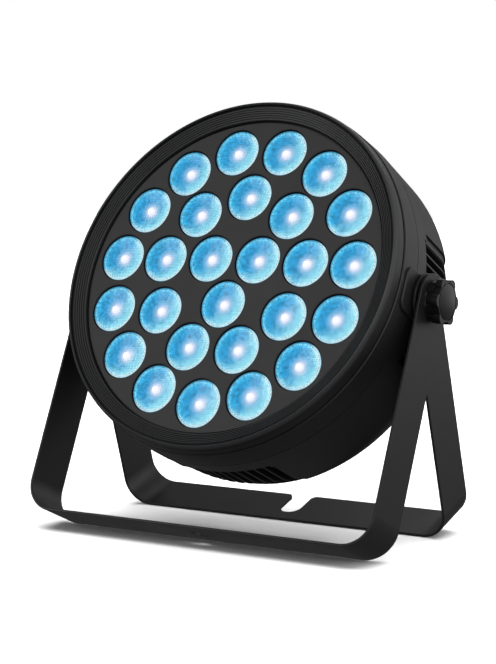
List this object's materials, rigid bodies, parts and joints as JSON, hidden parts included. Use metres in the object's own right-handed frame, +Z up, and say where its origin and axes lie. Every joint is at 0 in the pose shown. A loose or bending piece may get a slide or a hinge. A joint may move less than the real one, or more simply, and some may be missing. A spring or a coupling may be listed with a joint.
{
  "type": "par can light",
  "caption": "Round black LED stage wash light with concentric rings of lit lenses, tilted up between two flat steel yokes that open into a floor stand, clamped by side star knobs.",
  "frame": {"origin": "middle of the stand on the floor, under the centre of the whole light", "axes": "+Z up, lenses face -Y, +X along the pivot axis to the right as seen from the front"},
  "size_m": [0.314, 0.2116, 0.3125],
  "materials": {
    "yoke_powder_coat": "fine-textured satin black powder coat on steel strap",
    "housing_black": "satin black moulded housing",
    "mask_charcoal": "matte charcoal face plate",
    "lens_lit": "moulded collimator lens, lit pale blue",
    "holder_black": "black moulded lens cup",
    "rubber_black": "black rubber",
    "nylon_black": "black nylon washer",
    "knob_black": "black moulded knob with a slight sheen",
    "steel_zinc": "zinc-plated steel",
    "screw_black": "black oxide steel screw",
    "steel_bright": "bright nickel-plated steel rod",
    "aluminium_black": "black anodised aluminium",
    "panel_black": "satin black painted steel sheet",
    "board_white": "white solder mask on an aluminium-core board",
    "emitter_yellow": "emitter package with a clear dome",
    "board_green": "green glass-fibre circuit board",
    "component_mixed": "moulded electronic components",
    "fan_black": "black glass-filled nylon",
    "display_dark": "dark tinted display window",
    "display_body": "display module body",
    "button_grey": "dark grey silicone button",
    "connector_black": "black moulded connector"
  },
  "bodies": {
    "front_yoke": {"front_yoke": "yoke_powder_coat"},
    "rear_yoke": {"rear_yoke": "yoke_powder_coat", "spacer_washer_right": "nylon_black", "spacer_washer_left": "nylon_black"},
    "right_clamp": {"clamp_washer_right": "steel_zinc"},
    "right_knob": {"knob_right": "knob_black", "knob_stud_right": "steel_zinc"},
    "left_clamp": {"clamp_washer_left": "steel_zinc"},
    "left_knob": {"knob_left": "knob_black", "knob_stud_left": "steel_zinc"},
    "fan": {"fan_rotor": "fan_black"},
    "fuse_cap": {"fuse_cap": "connector_black"},
    "menu_button": {"menu_button": "button_grey"},
    "down_button": {"down_button": "button_grey"},
    "up_button": {"up_button": "button_grey"},
    "enter_button": {"enter_button": "button_grey"},
    "head": {"bezel_gasket": "rubber_black", "bezel_screws": "screw_black", "board_standoffs": "steel_zinc", "chassis_plate": "aluminium_black", "control_board": "board_green", "data_input": "connector_black", "data_output": "connector_black", "display_module": "display_body", "display_window": "display_dark", "fan_frame": "fan_black", "fan_screws": "steel_zinc", "friction_disc_left": "rubber_black", "friction_disc_right": "rubber_black", "front_bezel": "housing_black", "front_housing": "housing_black", "fuse_holder": "connector_black", "heatsink": "aluminium_black", "heatsink_screws": "steel_zinc", "inner_lenses": "lens_lit", "led_board": "board_white", "led_driver_board": "board_green", "led_driver_parts": "component_mixed", "led_emitters": "emitter_yellow", "lens_holders": "holder_black", "lens_mask_plate": "mask_charcoal", "middle_lenses": "lens_lit", "outer_lenses": "lens_lit", "pivot_boss_left": "housing_black", "pivot_boss_right": "housing_black", "pivot_bracket_left": "steel_zinc", "pivot_bracket_right": "steel_zinc", "pivot_insert_left": "steel_zinc", "pivot_insert_right": "steel_zinc", "power_inlet": "connector_black", "power_outlet": "connector_black", "power_supply_board": "board_green", "power_supply_parts": "component_mixed", "rear_panel": "panel_black", "rear_panel_screws": "screw_black", "rear_shell": "housing_black", "safety_eye": "steel_bright", "tact_switches": "component_mixed"}
  },
  "joints": [
    {"name": "head_tilt", "type": "hinge", "parent": "front_yoke", "child": "head", "pos_m": [0, -0.00725, 0.173], "axis": [-1, 0, 0], "range_deg": [-115.5, 64.5]},
    {"name": "rear_yoke_fold", "type": "hinge", "parent": "front_yoke", "child": "rear_yoke", "pos_m": [0, -0.00725, 0.173], "axis": [1, 0, 0], "range_deg": [-41.9, 90]},
    {"name": "right_clamp_slide", "type": "slide", "parent": "head", "child": "right_clamp", "axis": [1, 0, 0], "range_m": [0, 0.00125]},
    {"name": "right_knob_turn", "type": "hinge", "parent": "right_clamp", "child": "right_knob", "pos_m": [0.15, -0.00725, 0.173], "axis": [1, 0, 0], "range_deg": [0, 360]},
    {"name": "left_clamp_slide", "type": "slide", "parent": "head", "child": "left_clamp", "axis": [-1, 0, 0], "range_m": [0, 0.00125]},
    {"name": "left_knob_turn", "type": "hinge", "parent": "left_clamp", "child": "left_knob", "pos_m": [-0.15, -0.00725, 0.173], "axis": [-1, 0, 0], "range_deg": [0, 360]},
    {"name": "menu_button_press", "type": "slide", "parent": "head", "child": "menu_button", "axis": [0, -0.9026, 0.4305], "range_m": [0, 0.0008], "stiffness_N_per_m": 1500},
    {"name": "down_button_press", "type": "slide", "parent": "head", "child": "down_button", "axis": [0, -0.9026, 0.4305], "range_m": [0, 0.0008], "stiffness_N_per_m": 1500},
    {"name": "up_button_press", "type": "slide", "parent": "head", "child": "up_button", "axis": [0, -0.9026, 0.4305], "range_m": [0, 0.0008], "stiffness_N_per_m": 1500},
    {"name": "enter_button_press", "type": "slide", "parent": "head", "child": "enter_button", "axis": [0, -0.9026, 0.4305], "range_m": [0, 0.0008], "stiffness_N_per_m": 1500},
    {"name": "fan_spin", "type": "hinge", "parent": "head", "child": "fan", "pos_m": [0, 0.01712, 0.16138], "axis": [0, 0.9026, -0.4305], "continuous": true},
    {"name": "fuse_cap_turn", "type": "hinge", "parent": "head", "child": "fuse_cap", "pos_m": [0, 0.05267, 0.13556], "axis": [0, 0.9026, -0.4305], "range_deg": [0, 60]}
  ],
  "couplings": [
    {"joint": "right_knob_turn", "follows": "right_clamp_slide", "rad_per_m": 5026.5},
    {"joint": "left_knob_turn", "follows": "left_clamp_slide", "rad_per_m": 5026.5}
  ]
}
